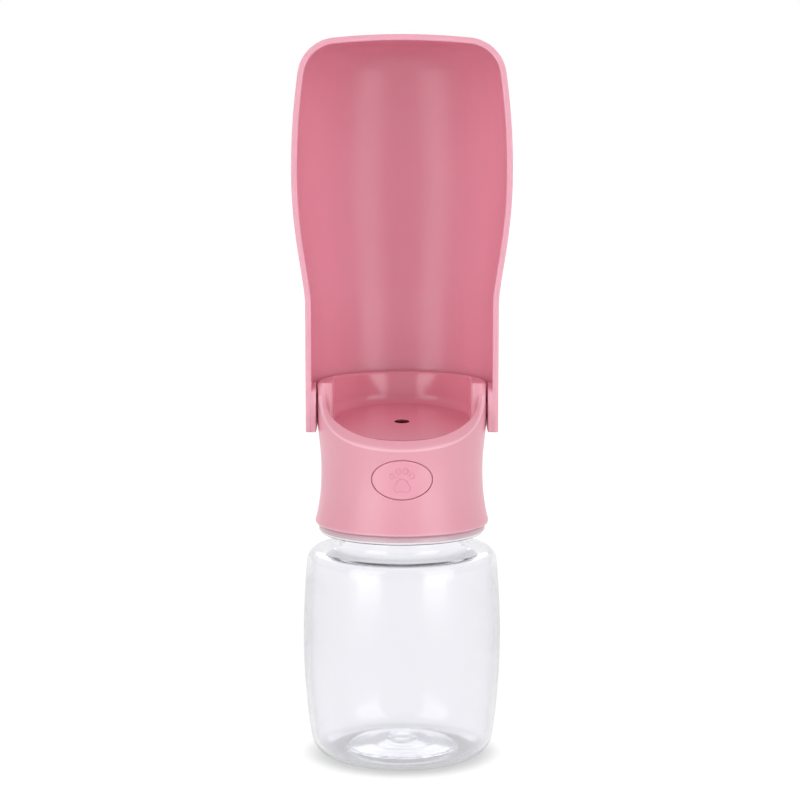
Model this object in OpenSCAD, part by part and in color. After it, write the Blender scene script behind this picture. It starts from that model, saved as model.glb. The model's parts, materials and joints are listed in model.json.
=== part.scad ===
// Dog travel water bottle with a fold-over drinking trough, standing with the trough up.
// The origin is the centre of the bottle's foot, on the surface that it stands on.
// The button faces -Y, +X is to the right of the button, and the bottle stands along +Z.

/* [Bottle] */
// Radius of the bottle at its widest place
bottle_r = 35.85; // [35:0.05:35.95]
// Height of the widest place above the foot
belly_z = 43; // [41:0.5:45]
// Wall of the bottle
bottle_wall = 1.6; // [1.2:0.1:1.8]

/* [Head] */
// Outer radius of the head at its waist
waist_r = 29.15; // [29:0.05:29.25]
// Outer radius of the head beside the bowl
rim_r = 30.5; // [30.2:0.05:30.6]
// Height of the head's top edge above the foot
head_top = 137; // [135:0.5:138]
// Rise of the bowl's floor to the back, in mm for each mm
floor_slope = 0.122; // [0.08:0.002:0.13]

/* [Trough] */
// Outer radius of the trough beside the head
trough_neck_r = 34.55; // [34.5:0.05:34.9]
// Outer radius of the trough at its widest place
trough_wide_r = 39.25; // [39.1:0.05:41]
// Distance from the hinge to the trough's tip
trough_reach = 132.7; // [132.6:0.1:137]
// Wall of the trough
trough_wall = 2.15; // [1.9:0.05:2.2]

/* [Button] */
// Width of the oval button
button_w = 21.2; // [19:0.1:21.4]
// Height of the oval button
button_h = 13.9; // [12.6:0.1:14]
// How far the button goes in
button_travel = 3; // [2:0.1:3]

/* [Closure] */
// Rise of the head in one full turn on the neck's ramps
closure_lead = 2.4; // [2:0.1:2.8]
// Width of each of the three lugs, in degrees
lug_angle = 20; // [14:1:22]

/* [Hidden] */
$fn = 96;

// Pieces that touch in one body stand this far apart
skin = 0.05;

// Bottle: arcs of the foot, the shoulder and the neck
foot_corner = 8.3;
foot_bend = 465;
foot_ring_r = 20.6;
shoulder_bend = 600;
shoulder_z = 71.86;
shoulder_corner = 4.6;
neck_r = 24.3;
neck_root = [26.5, 79.2];
neck_root_corner = 2.2;
neck_top = 94;
neck_wall = 1.8;
neck_edge = 0.4;

// Raised middle of the base, outside from the axis and then back inside
punt_outer = [[0, 4.2], [3.6, 4.2], [3.6, 3.15], [12, 2.55], [18.8, 1.6], [foot_ring_r, 0]];
punt_inner = [[foot_ring_r + 0.3, bottle_wall], [19.4, 3.4], [12, 4.35], [5.3, 4.9], [5.3, 6], [0, 6]];

// Head: levels from the skirt up to the bowl
head_base = 86;
waist_z = 106;
skirt_flare = 2.4;
rim_blend = 19.5;
bowl_edge = 0.8;
head_edge = 1.2;
pilot_r = 0.85;
hinge_z = 128;
bowl_r = 27.8;
bowl_z = 122.5;
bowl_floor = 2.2;
cavity_r = 26.7;
deck_bore_r = 27.75;
block_x = 24.7;
block_front = -5;
block_back = 12;
outlet_r = 2.5;
spigot_r = 3;
spigot_z = 116.6;

// Front lip: two arcs in the side view, one for its inner edge and one for its outer edge
lip_arc = 45;
lip_inner_r = 28.2;
lip_inner_centre = [-37, 163.6];
lip_outer_r = 30.4;
lip_outer_centre = [-41.3, 160.15];

// Hinge on the X axis, mirrored left and right
pin_r = 2;
pin_bore_r = 2.05;
pin_in_x = 25.9;
pin_head_r = 3.5;
pin_head_x = [33.62, 34.3];
washer_x = [29.65, 30.7];
washer_r = 3.8;
ear_x = [30.75, 33.2];
ear_r = 8.6;
ear_drop = 8.7;
trough_front = 6.5;
trough_bend = 250;
trough_tip_bend = 240;
trough_corner = 14.2;
trough_neck_s = 38.3;
trough_wide_s = 84;
trough_tip_wall = 2.2;
ledge_z = [116.6, 118.9];
ledge_r = 33.6;
ledge_angle = 80;

// Valve: deck, chamber, stem and cap
deck_z = neck_top + 1;
deck_top = deck_z + 2.2;
chamber_top = deck_top + 3;
cover_z = chamber_top + 0.02;
cover_top = cover_z + 1.58;
chamber_r = 4.6;
chamber_wall = 1.7;
valve_y = -11;
seat_r = 3.5;
seat_lip = 0.7;
vent_y = 14;
vent_r = 1.3;
stem_r = 1.5;
stem_foot_z = 90.7;
stem_foot_h = 1.2;
plug_r = 5.4;
stem_top = 112.6;
gland_r = 2.8;
gland_z = cover_top + 0.1;
boss_r = 3.7;
boss_top = cover_top + 1.6;
cap_z = 110.4;
cap_flange = 1;
cap_r = 3.2;
wedge_slope = 0.75;
wedge_gap = 0.08;
cap_mid_z = 114.4;

// Button: its face follows the waist, and it slides in the head's sleeve
button_z = 105.8;
button_face_r = 29.3;
button_wall = 1.2;
button_rear = -23.1;
flange_y = -24.1;
flange_rim = 1.1;
sleeve_y = -24.2;
spring_z = 104.6;
wire_r = 0.3;
spring_post_r = 2.4;
spring_boss_r = 2.7;
spring_y = -27.58;
plate_y = [button_rear + button_travel + 0.5, button_rear + button_travel + 2.1];
plate_z = [99.8, 109];
plate_x = 17.3;
screw_x = 15.5;
paw_depth = 0.3;

// Closure: ramps on the neck and lugs in the collar
ramp_z = 88.35;
ramp_height = 2;
ramp_r = 25.6;
ramp_start = -42;
ramp_end = 40;
ramp_root = 0.9;
stop_turn = 3.5;
lug_start = -40;
lug_r = 24.8;
lug_z = [86.4, 88.2];
collar_r = [26.2, 27.7];
collar_z = 82.5;
collar_flange_r = 30.1;
collar_edge = 1.2;

function arc(c, r, a0, a1, n) =
    [for (i = [0:n]) let (a = a0 + (a1 - a0) * i / n) c + r * [cos(a), sin(a)]];
function smooth(t) = t * t * (3 - 2 * t);
function reverse(list) = [for (i = [len(list) - 1:-1:0]) list[i]];
function barrel_r(z) = bottle_r - pow(z - belly_z, 2) / (z < belly_z ? foot_bend : shoulder_bend);

// Bottle outline: lean of the barrel at both corners, then the corners' centres
foot_lean = atan(2 * (belly_z - foot_corner) / foot_bend);
foot_top = foot_corner * (1 - sin(foot_lean));
foot_r = barrel_r(foot_top) - foot_corner * cos(foot_lean);
shoulder_lean = atan(2 * (shoulder_z - belly_z) / shoulder_bend);
shoulder_top = shoulder_z + shoulder_corner * sin(shoulder_lean);
shoulder_r = barrel_r(shoulder_top) - shoulder_corner * cos(shoulder_lean);

// One side of the bottle from its foot to its neck, pushed inwards by the wall
function bottle_side(wall) = concat(
    arc([foot_r, foot_corner], foot_corner - wall, -90, -foot_lean, 10),
    [for (i = [1:11]) let (z = foot_top + (shoulder_top - foot_top) * i / 12) [barrel_r(z) - wall, z]],
    arc([shoulder_r, shoulder_z], shoulder_corner - wall, shoulder_lean, 84, 7),
    arc(neck_root, neck_root_corner + wall, 264, 180, 7)
);

// Neck outline above its root, then the bore's edge
neck_outer = [[neck_r, neck_top - neck_edge], [neck_r - neck_edge, neck_top]];
neck_bore_r = neck_r - neck_wall;

module bottle_outline() {
    polygon(concat(
        punt_outer,
        bottle_side(0),
        neck_outer,
        [[neck_bore_r, neck_top]],
        reverse(bottle_side(bottle_wall)),
        punt_inner
    ));
}

// One ramp is a slice of a ring between two planes that lean along the turn
module neck_ramp() {
    lean = atan(closure_lead / (2 * PI * ramp_r));
    middle_z = ramp_z - closure_lead * ramp_start / 360;
    intersection() {
        rotate([0, 0, ramp_start])
            rotate_extrude(angle = ramp_end - ramp_start)
                translate([neck_r - ramp_root, ramp_z - 2])
                    square([ramp_r - neck_r + ramp_root, ramp_height + 6]);
        rotate([lean, 0, 0])
            translate([0, -ramp_r, middle_z])
                cube([2 * ramp_r, 2 * ramp_r, ramp_height]);
    }
}

// The rib that stops a lug when the head is locked
module lock_stop() {
    stop_z = lug_z[0] - 0.4;
    rotate([0, 0, ramp_start - stop_turn + 0.5])
        rotate_extrude(angle = stop_turn)
            translate([neck_r - ramp_root, stop_z])
                square([ramp_r - neck_r + ramp_root, ramp_z - stop_z]);
}

module bottle_body() {
    color([0.93, 0.93, 0.96, 0.45]) {
        rotate_extrude()
            bottle_outline();
        for (turn = [0, 120, 240])
            rotate([0, 0, turn]) {
                neck_ramp();
                lock_stop();
            }
    }
}

module ring(outer, inner, z0, z1) {
    translate([0, 0, z0])
        difference() {
            cylinder(r = outer, h = z1 - z0);
            translate([0, 0, -1])
                cylinder(r = inner, h = z1 - z0 + 2);
        }
}

module neck_gasket() {
    color("whitesmoke")
        ring(neck_r - 0.1, neck_bore_r + 0.1, neck_top + 0.02, deck_z - 0.02);
}

module lock_collar() {
    lug_wall = collar_r[0] - lug_r + 0.3;
    color([0.95, 0.92, 0.93, 0.5]) {
        rotate_extrude()
            polygon(concat(
                [[collar_r[0], collar_z]],
                arc([collar_flange_r - collar_edge, collar_z + collar_edge], collar_edge, -90, 0, 6),
                [[collar_flange_r, head_base - skin], [collar_r[1], head_base - skin],
                 [collar_r[1], deck_z - skin], [collar_r[0], deck_z - skin]]
            ));
        for (turn = [0, 120, 240])
            rotate([0, 0, turn + lug_start])
                rotate_extrude(angle = lug_angle)
                    translate([lug_r, lug_z[0]])
                        square([lug_wall, lug_z[1] - lug_z[0]]);
    }
}

// Outer radius of the head: a flared skirt, a waist, then a slow swell to the rim
function head_r(z) = z < waist_z
    ? waist_r + skirt_flare * pow((waist_z - z) / (waist_z - head_base), 2.4)
    : waist_r + (rim_r - waist_r) * smooth(min(1, (z - waist_z) / rim_blend));

module head_blank() {
    rotate_extrude()
        polygon(concat(
            [[0, head_base]],
            [for (i = [0:10]) let (z = head_base + (waist_z - head_base) * i / 10) [head_r(z), z]],
            [for (i = [1:8]) let (z = waist_z + rim_blend * i / 8) [head_r(z), z]],
            arc([rim_r - head_edge, head_top - head_edge], head_edge, 0, 90, 5),
            [[0, head_top]]
        ));
}

// Everything under a plane that rises to the back and passes the axis at height z
module below_slope(z) {
    size = 140;
    translate([0, 0, z])
        rotate([atan(floor_slope), 0, 0])
            translate([-size / 2, -size / 2, -size])
                cube(size);
}

// The bowl's hollow, with two solid blocks left for the hinge pins
module bowl_hollow() {
    difference() {
        rotate_extrude()
            polygon(concat(
                [[0, bowl_z - 10], [bowl_r, bowl_z - 10]],
                reverse(arc([bowl_r + bowl_edge, head_top - bowl_edge], bowl_edge, 90, 180, 4)),
                [[bowl_r + bowl_edge, head_top + 1], [0, head_top + 1]]
            ));
        below_slope(bowl_z);
        for (side = [-1, 1])
            translate([side * (block_x + 10) - 10, block_front, bowl_z - 20])
                cube([20, block_back - block_front, 40]);
    }
}

// Height of the lip's two edges at a place y in front of the hinge
function lip_z(centre, y) = centre[1] - sqrt(lip_arc * lip_arc - pow(y - centre[0], 2));

// One section of the lip's cutter, at the angle a round the head
function lip_section(a) =
    let (
        z_in = lip_z(lip_inner_centre, lip_inner_r * sin(a)),
        z_out = min(z_in, lip_z(lip_outer_centre, lip_outer_r * sin(a))),
        far_r = 34,
        near_r = bowl_r - 0.3,
        z_far = z_out - (z_in - z_out) * (far_r - lip_outer_r) / (lip_outer_r - lip_inner_r),
        section = [[lip_inner_r, z_in], [far_r, z_far], [far_r, 150], [near_r, 150], [near_r, z_in]]
    )
    [for (p = section) [p[0] * cos(a), p[0] * sin(a), p[1]]];

// The space over the slanted front lip, in front of the hinge blocks
module lip_cutter() {
    steps = 40;
    sections = [for (i = [0:steps]) lip_section(188 + 164 * i / steps)];
    n = len(sections[0]);
    walls = [for (i = [0:steps - 1], k = [0:n - 1])
        let (a = i * n + k, b = i * n + (k + 1) % n)
            each [[a, b, b + n], [a, b + n, a + n]]];
    first = [for (k = [1:n - 2]) [0, k + 1, k]];
    end = steps * n;
    last = [for (k = [1:n - 2]) [end, end + k, end + k + 1]];
    intersection() {
        polyhedron([for (s = sections) each s], concat(walls, first, last));
        translate([-50, -50, 100])
            cube([100, 50 + block_front, 60]);
    }
}

// A flat shape in X and Z, drawn out along Y from y0 to y1
module along_y(y0, y1) {
    translate([0, y1, 0])
        rotate([90, 0, 0])
            linear_extrude(y1 - y0)
                children();
}

// A round bar along X from x0 to x1 on the hinge line
module hinge_bar(r, x0, x1) {
    translate([x0, 0, hinge_z])
        rotate([0, 90, 0])
            cylinder(r = r, h = x1 - x0);
}

// The button's oval, grown on every side
module button_oval(grow = 0) {
    points = 48;
    translate([0, button_z])
        polygon([for (i = [0:points - 1])
            let (a = 360 * i / points)
                [(button_w / 2 + grow) * cos(a), (button_h / 2 + grow) * sin(a)]]);
}

// The sleeve round the button's opening and the two screw bosses, inside the front wall
module button_mount() {
    intersection() {
        union() {
            along_y(-28, sleeve_y)
                button_oval(2);
            for (side = [-1, 1])
                along_y(-25, plate_y[0] - skin)
                    translate([side * screw_x, spring_z])
                        circle(spring_boss_r);
        }
        cylinder(r = cavity_r + 0.8, h = head_top);
    }
}

module head_hollows() {
    intersection() {
        translate([0, 0, head_base - 1])
            cylinder(r = cavity_r, h = 60);
        below_slope(bowl_z - bowl_floor);
    }
}

module head_shell() {
    color([0.93, 0.66, 0.73])
        difference() {
            union() {
                difference() {
                    head_blank();
                    head_hollows();
                    bowl_hollow();
                }
                button_mount();
                translate([0, 0, spigot_z])
                    cylinder(r = spigot_r, h = bowl_z - spigot_z - 0.5);
                stop_ledge();
            }
            lip_cutter();
            translate([0, 0, head_base - 1])
                cylinder(r = deck_bore_r, h = deck_top + skin - head_base + 1);
            translate([0, 0, spigot_z - 1])
                cylinder(r = outlet_r, h = 10);
            along_y(-34, sleeve_y)
                button_oval(0.15);
            along_y(sleeve_y, -15)
                button_oval(flange_rim + 0.5);
            for (side = [-1, 1]) {
                along_y(-22.8, -15)
                    translate([side * screw_x, spring_z])
                        circle(pilot_r);
                mirror([side < 0 ? 1 : 0, 0, 0]) {
                    hinge_bar(pin_bore_r, pin_in_x - 0.4, 40);
                    hinge_bar(washer_r + 0.2, washer_x[0] - skin, 40);
                }
            }
        }
}

// The ledge on the head's back that the open trough's edge rests on
module stop_ledge() {
    rotate([0, 0, 90 - ledge_angle / 2])
        rotate_extrude(angle = ledge_angle)
            translate([rim_r - 0.7, ledge_z[0]])
                square([ledge_r - rim_r + 0.7, ledge_z[1] - ledge_z[0]]);
}

// A long chamber shape: round ends over the stem and over the outlet
module capsule(r, z0, z1) {
    translate([0, 0, z0]) {
        cylinder(r = r, h = z1 - z0);
        translate([0, valve_y, 0])
            cylinder(r = r, h = z1 - z0);
        translate([-r, valve_y, 0])
            cube([2 * r, -valve_y, z1 - z0]);
    }
}

module valve_deck() {
    air_holes = 6;
    air_ring_r = 2.6;
    seat_rim = 1.1;
    color("white")
        difference() {
            union() {
                translate([0, 0, deck_z])
                    cylinder(r = deck_bore_r - 0.1, h = deck_top - deck_z);
                capsule(chamber_r + chamber_wall, deck_top - 0.5, chamber_top);
                translate([0, valve_y, deck_z - seat_lip])
                    cylinder(r = seat_r + seat_rim, h = seat_lip + 0.5);
            }
            capsule(chamber_r, deck_top, chamber_top + 1);
            translate([0, valve_y, deck_z - 2])
                cylinder(r = seat_r, h = 6);
            translate([0, vent_y, deck_z - 1])
                cylinder(r = vent_r, h = 5);
            for (i = [0:air_holes - 1])
                translate([0, vent_y, deck_z - 1])
                    rotate([0, 0, 360 * i / air_holes])
                        translate([air_ring_r, 0, 0])
                            cylinder(r = 0.5, h = 5, $fn = 24);
        }
}

module valve_cover() {
    color("ghostwhite")
        difference() {
            union() {
                capsule(chamber_r + chamber_wall, cover_z, cover_top);
                translate([0, valve_y, cover_z])
                    cylinder(r = boss_r, h = boss_top - cover_z);
                translate([0, 0, cover_z])
                    cylinder(r = spigot_r, h = cover_top + 3.6 - cover_z);
            }
            translate([0, valve_y, cover_z - 1])
                cylinder(r = stem_r + 0.1, h = 8);
            translate([0, valve_y, gland_z])
                cylinder(r = gland_r, h = 8);
            translate([0, 0, cover_z - 1])
                cylinder(r = spigot_r - 1, h = 10);
        }
}

module stem_seal() {
    seal_r = 0.6;
    color("dimgray")
        translate([0, valve_y, gland_z + seal_r + 0.1])
            rotate_extrude()
                translate([stem_r + seal_r + skin, 0])
                    circle(seal_r, $fn = 24);
}

module valve_stem() {
    foot_r = 3.4;
    color("gainsboro")
        translate([0, valve_y, stem_foot_z]) {
            cylinder(r = stem_r, h = stem_top - stem_foot_z);
            cylinder(r = foot_r, h = stem_foot_h);
        }
}

module valve_plug() {
    color("lightgray")
        translate([0, valve_y, 0])
            ring(plug_r, stem_r + 0.02, stem_foot_z + stem_foot_h + 0.02, deck_z - seat_lip - skin);
}

// A wire wound round the Z axis from z = 0 up to the given length
module coil(r, wire, length, turns) {
    steps = 12 * turns;
    sides = 6;
    rise = length - 2 * wire;
    rings = [for (i = [0:steps], k = [0:sides - 1])
        let (
            a = 360 * turns * i / steps,
            b = 360 * k / sides,
            out = r + wire * cos(b)
        )
        [out * cos(a), out * sin(a), wire + rise * i / steps + wire * sin(b)]];
    walls = [for (i = [0:steps - 1], k = [0:sides - 1])
        let (a = i * sides + k, b = i * sides + (k + 1) % sides)
            each [[a, b, b + sides], [a, b + sides, a + sides]]];
    first = [for (k = [1:sides - 2]) [0, k + 1, k]];
    end = steps * sides;
    last = [for (k = [1:sides - 2]) [end, end + k, end + k + 1]];
    polyhedron(rings, concat(walls, first, last));
}

module valve_spring() {
    color("silver")
        translate([0, valve_y, cover_top + 0.02])
            coil(4.3, wire_r, cap_z - cover_top - 0.04, 6);
}

// The cap's sloped top is what the button's wedge pushes down
module stem_cap() {
    color("lightpink")
        translate([0, valve_y, 0])
            difference() {
                union() {
                    translate([0, 0, cap_z])
                        cylinder(r = 5, h = cap_flange);
                    translate([0, 0, cap_z])
                        cylinder(r = cap_r, h = 8);
                }
                translate([0, 0, cap_mid_z])
                    rotate([atan(wedge_slope), 0, 0])
                        translate([-10, -10, 0])
                            cube([20, 20, 10]);
                translate([0, 0, cap_z - 1])
                    cylinder(r = stem_r + 0.02, h = stem_top + skin - cap_z + 1);
            }
}

module outlet_tube() {
    color("white")
        ring(3.9, spigot_r + 0.03, cover_top + skin, bowl_z - bowl_floor - 0.7);
}

module vent_valve() {
    color("lightgray")
        translate([0, vent_y, 0])
            rotate_extrude($fn = 48)
                polygon([
                    [0, deck_z - 1.1], [2, deck_z - 0.9], [4, deck_z - 0.3], [4, deck_z - 0.02],
                    [vent_r - 0.1, deck_z - 0.02], [vent_r - 0.1, deck_top + 0.02],
                    [vent_r + 0.5, deck_top + 0.02], [vent_r + 0.2, deck_top + 1], [0, deck_top + 1.6]
                ]);
}

// A plain paw: four toes over a three-lobed pad
module paw() {
    translate([0, button_z]) {
        for (side = [-1, 1]) {
            translate([side * 1.3, 3.2])
                circle(1.05, $fn = 32);
            translate([side * 3.5, 1.5])
                circle(0.95, $fn = 32);
            translate([side * 1.4, -2.8])
                circle(1.5, $fn = 32);
        }
        translate([0, -1.7])
            circle(2.2, $fn = 32);
    }
}

// Side view of the wedge arm, with its lower face parallel to the cap's top
module wedge_outline() {
    wedge_z = cap_mid_z + wedge_gap;
    tip_y = -8.5;
    heel_y = valve_y - (wedge_z - 112) / wedge_slope;
    polygon([
        [-28.2, 109.9], [-23, 109.9], [-19.5, 112], [heel_y, 112],
        [tip_y, wedge_z + wedge_slope * (tip_y - valve_y)],
        [tip_y, 117.4], [-15, 117.4], [-20, 114.4], [-23, 111.7], [-28.2, 111.7]
    ]);
}

module wedge_arm() {
    arm_w = 5.2;
    rotate([90, 0, 90])
        translate([0, 0, -arm_w / 2])
            linear_extrude(arm_w)
                wedge_outline();
}

module push_button() {
    color([0.95, 0.68, 0.75])
        difference() {
            union() {
                difference() {
                    union() {
                        along_y(-31, button_rear)
                            button_oval();
                        along_y(flange_y, button_rear)
                            button_oval(flange_rim);
                    }
                    intersection() {
                        along_y(-31, button_rear + 1)
                            button_oval(-button_wall);
                        cylinder(r = button_face_r - 1.3, h = head_top);
                    }
                }
                along_y(-28.2, -25.6)
                    translate([0, spring_z])
                        circle(spring_post_r);
                wedge_arm();
            }
            difference() {
                along_y(-34, -20)
                    square([60, 300], center = true);
                cylinder(r = button_face_r, h = head_top);
            }
            difference() {
                along_y(-31, -27)
                    paw();
                cylinder(r = button_face_r - paw_depth, h = head_top);
            }
        }
}

module button_spring() {
    color("silver")
        translate([0, spring_y, spring_z])
            rotate([-90, 0, 0])
                coil(3.2, wire_r, plate_y[0] - 0.02 - spring_y, 6);
}

module button_plate() {
    color("white")
        difference() {
            union() {
                intersection() {
                    translate([-plate_x, plate_y[0], plate_z[0]])
                        cube([2 * plate_x, plate_y[1] - plate_y[0], plate_z[1] - plate_z[0]]);
                    cylinder(r = cavity_r - 0.2, h = head_top);
                }
                along_y(plate_y[0] - 1.8, plate_y[0] + 0.5)
                    translate([0, spring_z])
                        circle(spring_post_r);
            }
            for (side = [-1, 1])
                along_y(-22, -15)
                    translate([side * screw_x, spring_z])
                        circle(0.95);
        }
}

module plate_screws() {
    head_h = 1.3;
    head_r = 1.9;
    color("silver")
        for (side = [-1, 1])
            difference() {
                union() {
                    along_y(plate_y[1] + 0.02, plate_y[1] + head_h)
                        translate([side * screw_x, spring_z])
                            circle(head_r);
                    along_y(-22.6, plate_y[1] + 0.1)
                        translate([side * screw_x, spring_z])
                            circle(pilot_r - 0.01);
                }
                for (turn = [0, 90])
                    translate([side * screw_x, plate_y[1] + head_h, spring_z])
                        rotate([0, turn, 0])
                            cube([2.4, 1.4, 0.5], center = true);
            }
}

// Trough outline from its lower edge to its tip, pushed inwards by the wall
function trough_tip_corner(wide, reach, corner) =
    let (
        side_centre = [wide - trough_bend, trough_wide_s],
        tip_centre = [0, reach - trough_tip_bend],
        side_far = trough_bend - corner,
        tip_far = trough_tip_bend - corner,
        apart = tip_centre - side_centre,
        gap = norm(apart),
        along = (side_far * side_far - tip_far * tip_far + gap * gap) / (2 * gap),
        across = sqrt(side_far * side_far - along * along),
        u = apart / gap
    )
    side_centre + along * u + across * [-u[1], u[0]];

function trough_side(wall, tip_wall) =
    let (
        neck = trough_neck_r - wall,
        swell = trough_wide_r - trough_neck_r,
        wide = trough_wide_r - wall,
        reach = trough_reach - tip_wall,
        corner = trough_corner - wall,
        c = trough_tip_corner(wide, reach, corner),
        side_centre = [wide - trough_bend, trough_wide_s],
        tip_centre = [0, reach - trough_tip_bend],
        side_end = atan2(c[1] - side_centre[1], c[0] - side_centre[0]),
        tip_start = atan2(c[1] - tip_centre[1], c[0] - tip_centre[0])
    )
    concat(
        [[neck, -ear_drop]],
        [for (i = [0:12]) let (t = i / 12)
            [neck + swell * (1 - cos(180 * pow(t, 0.7))) / 2,
             trough_neck_s + (trough_wide_s - trough_neck_s) * t]],
        [for (i = [1:6]) side_centre + trough_bend * [cos(side_end * i / 6), sin(side_end * i / 6)]],
        [for (i = [1:8])
            let (a = side_end + (tip_start - side_end) * i / 8)
                c + corner * [cos(a), sin(a)]],
        [for (i = [1:4])
            let (a = tip_start + (90 - tip_start) * i / 4)
                tip_centre + trough_tip_bend * [cos(a), sin(a)]]
    );

module trough_band() {
    polygon(concat(trough_side(0, 0), reverse(trough_side(trough_wall, trough_tip_wall))));
}

// The trough's shell: a half turn behind the hinge line and a straight strip in front of it
module trough_shell() {
    translate([0, 0, hinge_z])
        rotate_extrude(angle = 180, $fn = 128)
            trough_band();
    along_y(-trough_front, 0)
        translate([0, hinge_z]) {
            trough_band();
            mirror([1, 0])
                trough_band();
        }
}

// A round boss with a square foot inside each ear, which carries the hinge pin
module ear_boss() {
    intersection() {
        union() {
            hinge_bar(ear_r, ear_x[0], ear_x[1]);
            translate([ear_x[0], -ear_r, hinge_z - ear_drop])
                cube([ear_x[1] - ear_x[0], 2 * ear_r, ear_drop]);
        }
        translate([0, -trough_front, 0])
            cube([50, 50, 200]);
    }
}

module drinking_trough() {
    color([0.95, 0.66, 0.74])
        difference() {
            union() {
                trough_shell();
                for (side = [0, 1])
                    mirror([side, 0, 0])
                        ear_boss();
            }
            for (side = [0, 1])
                mirror([side, 0, 0]) {
                    hinge_bar(pin_r + 0.02, ear_x[0] - 1, 40);
                    hinge_bar(pin_head_r + skin, pin_head_x[0] - 0.02, 40);
                }
        }
}

module hinge_pin() {
    hinge_bar(pin_r, pin_in_x, pin_head_x[0] + 0.3);
    hinge_bar(pin_head_r, pin_head_x[0], pin_head_x[1]);
}

module hinge_pin_left() {
    color("silver")
        mirror([1, 0, 0])
            hinge_pin();
}

module hinge_pin_right() {
    color("silver")
        hinge_pin();
}

module hinge_washer() {
    difference() {
        hinge_bar(washer_r, washer_x[0], washer_x[1]);
        hinge_bar(pin_r + 0.08, washer_x[0] - 1, washer_x[1] + 1);
    }
}

module hinge_washer_left() {
    color("dimgray")
        mirror([1, 0, 0])
            hinge_washer();
}

module hinge_washer_right() {
    color("dimgray")
        hinge_washer();
}

bottle_body();
neck_gasket();
lock_collar();
head_shell();
valve_deck();
valve_cover();
stem_seal();
valve_stem();
valve_plug();
valve_spring();
stem_cap();
outlet_tube();
vent_valve();
push_button();
button_spring();
button_plate();
plate_screws();
drinking_trough();
hinge_pin_left();
hinge_pin_right();
hinge_washer_left();
hinge_washer_right();
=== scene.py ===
"""Dog travel water bottle: a clear bottle, a push-button head and a trough that folds up from over it.

Lengths in this script are millimetres until a mesh is made, and Blender's objects are in metres.
"""

import json
import math

import bmesh
import bpy
import numpy as np
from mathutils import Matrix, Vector


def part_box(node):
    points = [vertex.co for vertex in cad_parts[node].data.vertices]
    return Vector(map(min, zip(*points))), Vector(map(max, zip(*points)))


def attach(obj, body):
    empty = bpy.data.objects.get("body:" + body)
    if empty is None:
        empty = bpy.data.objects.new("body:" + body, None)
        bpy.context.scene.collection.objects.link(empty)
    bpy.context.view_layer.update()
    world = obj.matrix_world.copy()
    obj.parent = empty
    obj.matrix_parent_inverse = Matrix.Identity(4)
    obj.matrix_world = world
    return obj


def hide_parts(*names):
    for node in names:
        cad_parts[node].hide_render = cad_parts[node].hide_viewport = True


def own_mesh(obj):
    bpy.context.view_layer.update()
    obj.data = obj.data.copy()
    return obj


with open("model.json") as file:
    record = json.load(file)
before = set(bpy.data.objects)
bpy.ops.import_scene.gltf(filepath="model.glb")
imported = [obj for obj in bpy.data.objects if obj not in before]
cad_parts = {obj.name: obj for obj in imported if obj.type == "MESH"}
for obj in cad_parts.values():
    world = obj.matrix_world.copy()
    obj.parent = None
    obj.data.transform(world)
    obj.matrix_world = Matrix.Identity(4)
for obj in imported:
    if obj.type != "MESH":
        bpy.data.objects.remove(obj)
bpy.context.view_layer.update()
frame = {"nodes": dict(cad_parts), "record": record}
MM = 0.001


def node_box(node):
    """Lowest and highest corner of a CAD node, in millimetres."""
    low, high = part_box(node)
    return np.array(low) / MM, np.array(high) / MM


# Places read from the frame
joints = {j["name"]: j for j in frame["record"]["behaviour"]["joints"]}
HINGE_Z = joints["trough_hinge"]["pos_m"][2] / MM
head_low, head_high = node_box("head_shell")
trough_low, trough_high = node_box("drinking_trough")
collar_low, collar_high = node_box("lock_collar")
BOTTLE_R, _, NECK_TOP = node_box("bottle_body")[1]
HEAD_BASE = head_low[2]
HEAD_TOP = head_high[2]
TROUGH_WIDE_R = trough_high[0]
TROUGH_REACH = trough_high[2] - HINGE_Z
EAR_DROP = HINGE_Z - trough_low[2]
TROUGH_FRONT = -trough_low[1]
COLLAR_R = collar_high[0]

# Bottle. Its base is a list of radius and height, outside from the nub and inside from the wall.
BELLY_Z = 43.0
BOTTLE_WALL = 1.6
FOOT_BEND, SHOULDER_BEND = 465.0, 600.0
FOOT_CORNER, SHOULDER_CORNER = 8.3, 4.6
SHOULDER_Z = 71.86
NECK_R, NECK_WALL, NECK_EDGE = 24.3, 1.8, 0.4
NECK_ROOT, NECK_ROOT_CORNER = (26.5, 79.2), 2.2
FOOT_RING_R = 20.6
BASE_OUTSIDE = [(0, 4.2), (3.6, 4.2), (3.6, 3.15), (12, 2.55), (18.8, 1.6), (FOOT_RING_R, 0)]
BASE_INSIDE = [
    (FOOT_RING_R + 0.3, BOTTLE_WALL),
    (FOOT_RING_R - 1.2, 3.4),
    (12, 4.35),
    (5.3, 4.9),
    (5.3, 6),
    (0, 6),
]
BASE_EDGE = 0.8

# Collar
COLLAR_WALL_IN, COLLAR_WALL_OUT = 26.2, 27.7
COLLAR_EDGE, COLLAR_GAP = 1.2, 0.05

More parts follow.
